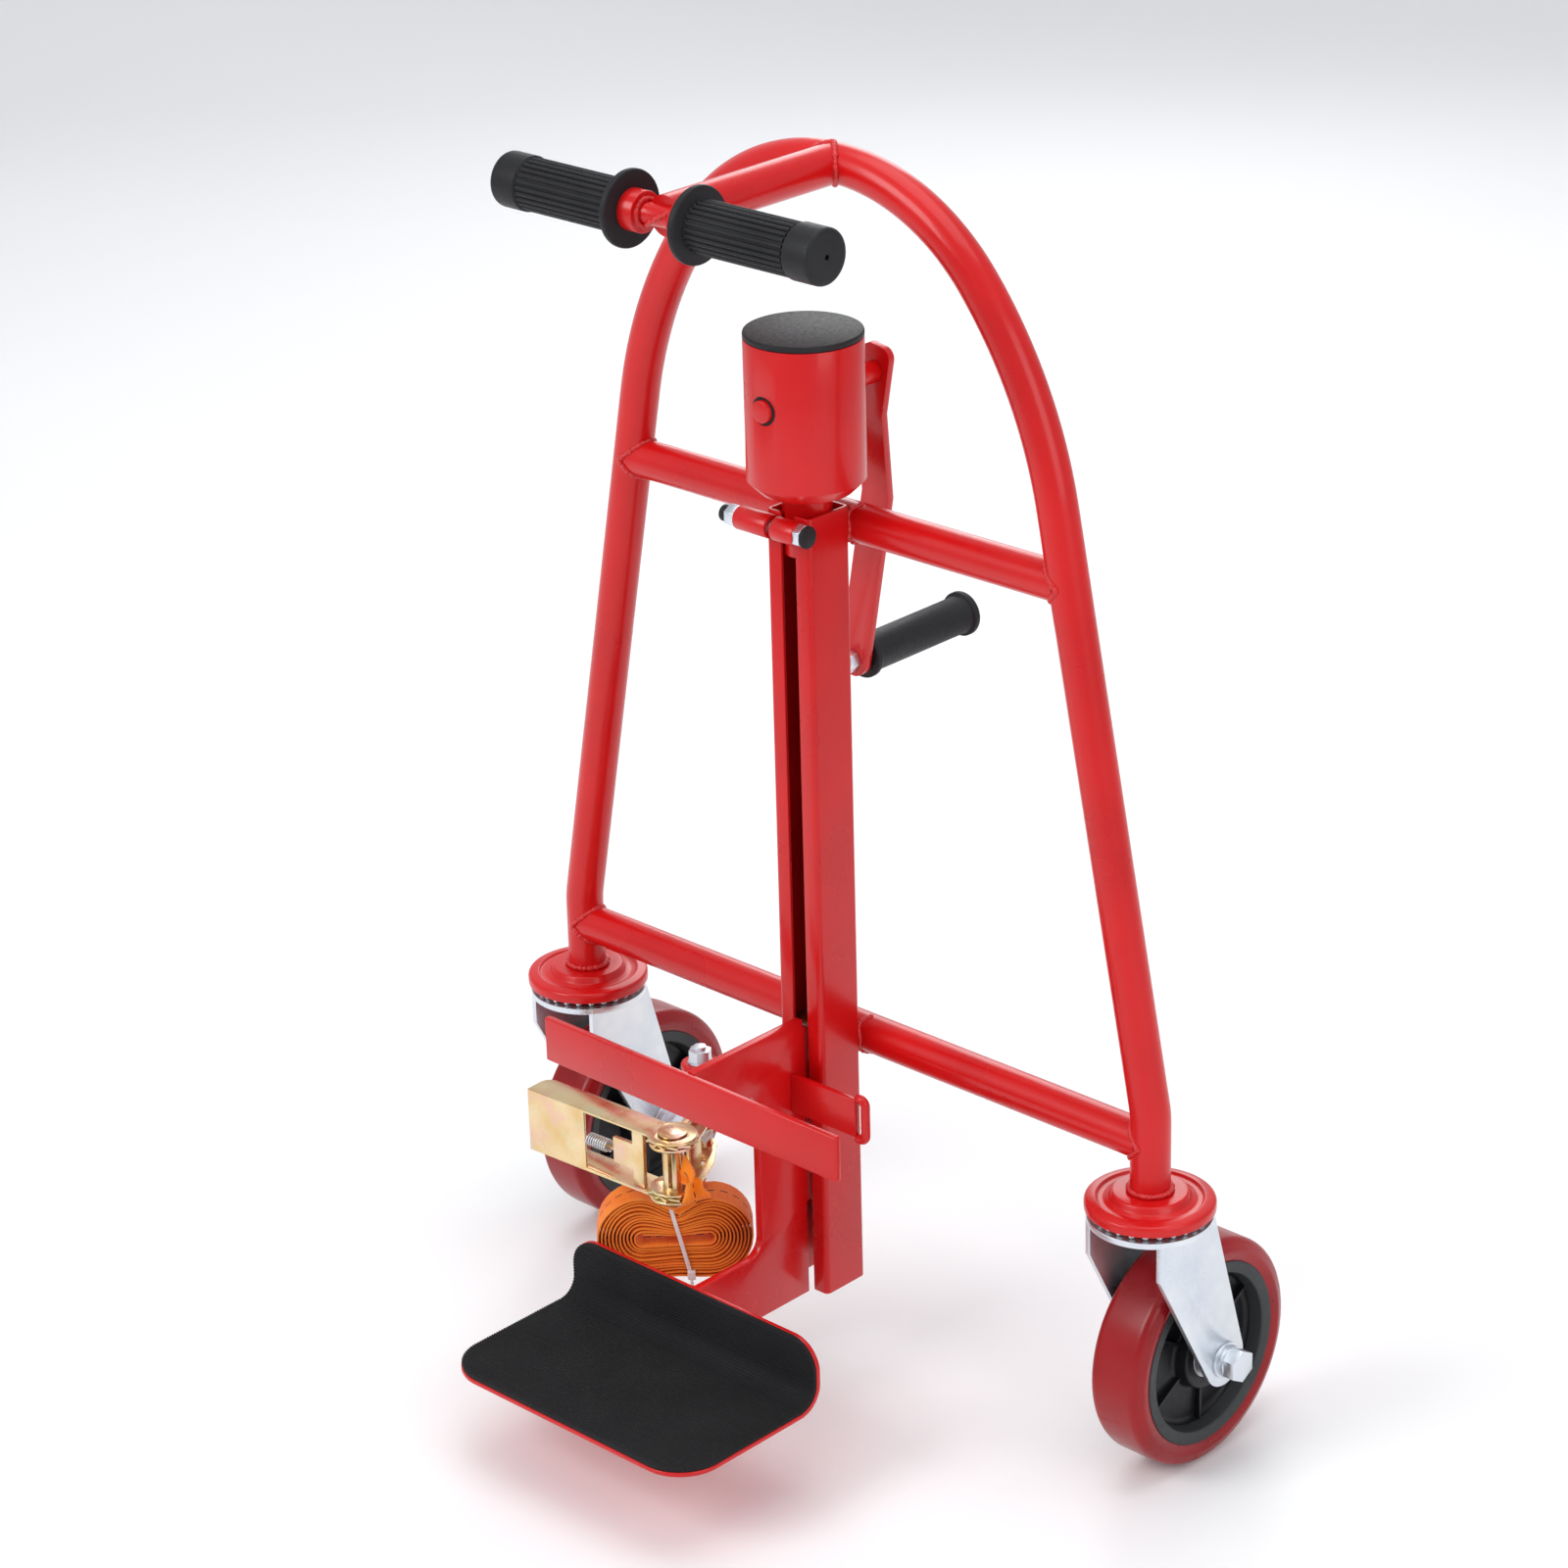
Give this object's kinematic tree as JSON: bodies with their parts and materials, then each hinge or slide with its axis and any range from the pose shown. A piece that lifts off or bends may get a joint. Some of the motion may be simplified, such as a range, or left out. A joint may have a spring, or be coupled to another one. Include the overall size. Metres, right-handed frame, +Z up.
{
  "type": "furniture lifting dolly",
  "caption": "Upright hand-crank lifting dolly: tube hoop on two swivel casters, slotted column with lead-screw carriage, toe plate, load bar, strap ratchet and T handle.",
  "frame": {"origin": "centre of the standing footprint box, on the floor", "axes": "+Z up, X along the crossbars, -Y toward the load, +Y toward the crank"},
  "size_m": [0.575, 0.4256, 0.8232],
  "materials": {
    "red_paint": "gloss powder coat",
    "zinc": "bright zinc plate",
    "yellow_zinc": "yellow zinc plate",
    "steel": "machined",
    "bronze": "machined bronze",
    "grip_rubber": "ribbed rubber",
    "mat_rubber": "fine ribbed rubber",
    "black_plastic": "satin moulded plastic",
    "red_tread": "moulded elastic tread",
    "hub_plastic": "moulded plastic",
    "webbing": "woven webbing",
    "white_plastic": "nylon"
  },
  "bodies": {
    "frame": {"hoop_frame": "red_paint", "upper_crossbar": "red_paint", "lower_crossbar": "red_paint", "handle_stem": "red_paint", "handle_bar": "red_paint", "left_grip": "grip_rubber", "right_grip": "grip_rubber", "column": "red_paint", "gear_housing": "red_paint", "housing_cap": "black_plastic", "clamp_bosses": "red_paint", "clamp_bolt": "zinc", "clamp_caps": "black_plastic", "shaft_bushes": "bronze", "screw_bearings": "bronze", "left_race_plate": "red_paint", "right_race_plate": "red_paint"},
    "screw": {"lead_screw": "steel", "screw_gear": "steel"},
    "crank": {"crank_shaft": "red_paint", "crank_gear": "steel", "crank_arm": "red_paint", "crank_bolt": "zinc"},
    "spin_grip": {"crank_grip": "black_plastic"},
    "carriage": {"slide_block": "steel", "lift_nut": "bronze", "gusset_plate": "red_paint", "load_bar": "red_paint", "toe_plate": "red_paint", "toe_mat": "mat_rubber", "ear_bracket": "red_paint", "tie_arm": "red_paint", "tie_loop": "red_paint", "ratchet_bolt": "zinc"},
    "ratchet": {"ratchet_frame": "yellow_zinc", "lock_spring": "steel", "strap_bundle": "webbing", "zip_tie": "white_plastic"},
    "lever": {"ratchet_handle": "yellow_zinc", "drive_spring": "steel"},
    "drive_pawl": {"drive_pawl": "yellow_zinc"},
    "lock_pawl": {"lock_pawl": "yellow_zinc"},
    "spool": {"ratchet_spool": "yellow_zinc"},
    "left_swivel": {"left_balls": "steel", "left_kingpin": "zinc", "left_fork": "zinc", "left_axle_bolt": "zinc", "left_axle_fittings": "zinc"},
    "right_swivel": {"right_balls": "steel", "right_kingpin": "zinc", "right_fork": "zinc", "right_axle_bolt": "zinc", "right_axle_fittings": "zinc"},
    "left_wheel": {"left_bearings": "steel", "left_hub": "hub_plastic", "left_tread": "red_tread"},
    "right_wheel": {"right_bearings": "steel", "right_hub": "hub_plastic", "right_tread": "red_tread"}
  },
  "joints": [
    {"name": "crank_turn", "type": "hinge", "parent": "frame", "child": "crank", "pos_m": [0, 0.05925, 0.663], "axis": [0, 1, 0], "range_deg": [-2610, 13500]},
    {"name": "carriage_lift", "type": "slide", "parent": "frame", "child": "carriage", "axis": [0, 0, 1], "range_m": [-0.058, 0.3]},
    {"name": "screw_turn", "type": "hinge", "parent": "frame", "child": "screw", "pos_m": [0, 0.02875, 0.3], "axis": [0, 0, 1], "range_deg": [-5220, 27000]},
    {"name": "spin_grip_turn", "type": "hinge", "parent": "crank", "child": "spin_grip", "pos_m": [-0.03772, 0.15475, 0.45947], "axis": [0, 1, 0], "continuous": true},
    {"name": "ratchet_swing", "type": "hinge", "parent": "carriage", "child": "ratchet", "pos_m": [-0.066, -0.01375, 0.1685], "axis": [0, 0, 1], "range_deg": [-12, 0]},
    {"name": "lever_turn", "type": "hinge", "parent": "ratchet", "child": "lever", "pos_m": [-0.04098, -0.06574, 0.1685], "axis": [0, 0, 1], "range_deg": [-45, 95]},
    {"name": "spool_turn", "type": "hinge", "parent": "ratchet", "child": "spool", "pos_m": [-0.04098, -0.06574, 0.1685], "axis": [0, 0, 1], "continuous": true},
    {"name": "drive_pawl_pull", "type": "slide", "parent": "lever", "child": "drive_pawl", "axis": [-0.9984, -0.0558, 0], "range_m": [0, 0.004], "stiffness_N_per_m": 400, "springref_m": -0.004},
    {"name": "lock_pawl_pull", "type": "slide", "parent": "ratchet", "child": "lock_pawl", "axis": [-0.2368, 0.9715, 0], "range_m": [0, 0.004], "stiffness_N_per_m": 400, "springref_m": -0.004},
    {"name": "left_swivel_turn", "type": "hinge", "parent": "frame", "child": "left_swivel", "pos_m": [-0.244, 0.05925, 0.18], "axis": [0, 0, 1], "continuous": true},
    {"name": "left_wheel_turn", "type": "hinge", "parent": "left_swivel", "child": "left_wheel", "pos_m": [-0.244, 0.09775, 0.075], "axis": [1, 0, 0], "continuous": true},
    {"name": "right_swivel_turn", "type": "hinge", "parent": "frame", "child": "right_swivel", "pos_m": [0.244, 0.05925, 0.18], "axis": [0, 0, 1], "continuous": true},
    {"name": "right_wheel_turn", "type": "hinge", "parent": "right_swivel", "child": "right_wheel", "pos_m": [0.244, 0.09775, 0.075], "axis": [1, 0, 0], "continuous": true}
  ],
  "couplings": [
    {"joint": "screw_turn", "follows": "carriage_lift", "rad_per_m": 1570.8},
    {"joint": "crank_turn", "follows": "carriage_lift", "rad_per_m": 785.4}
  ]
}
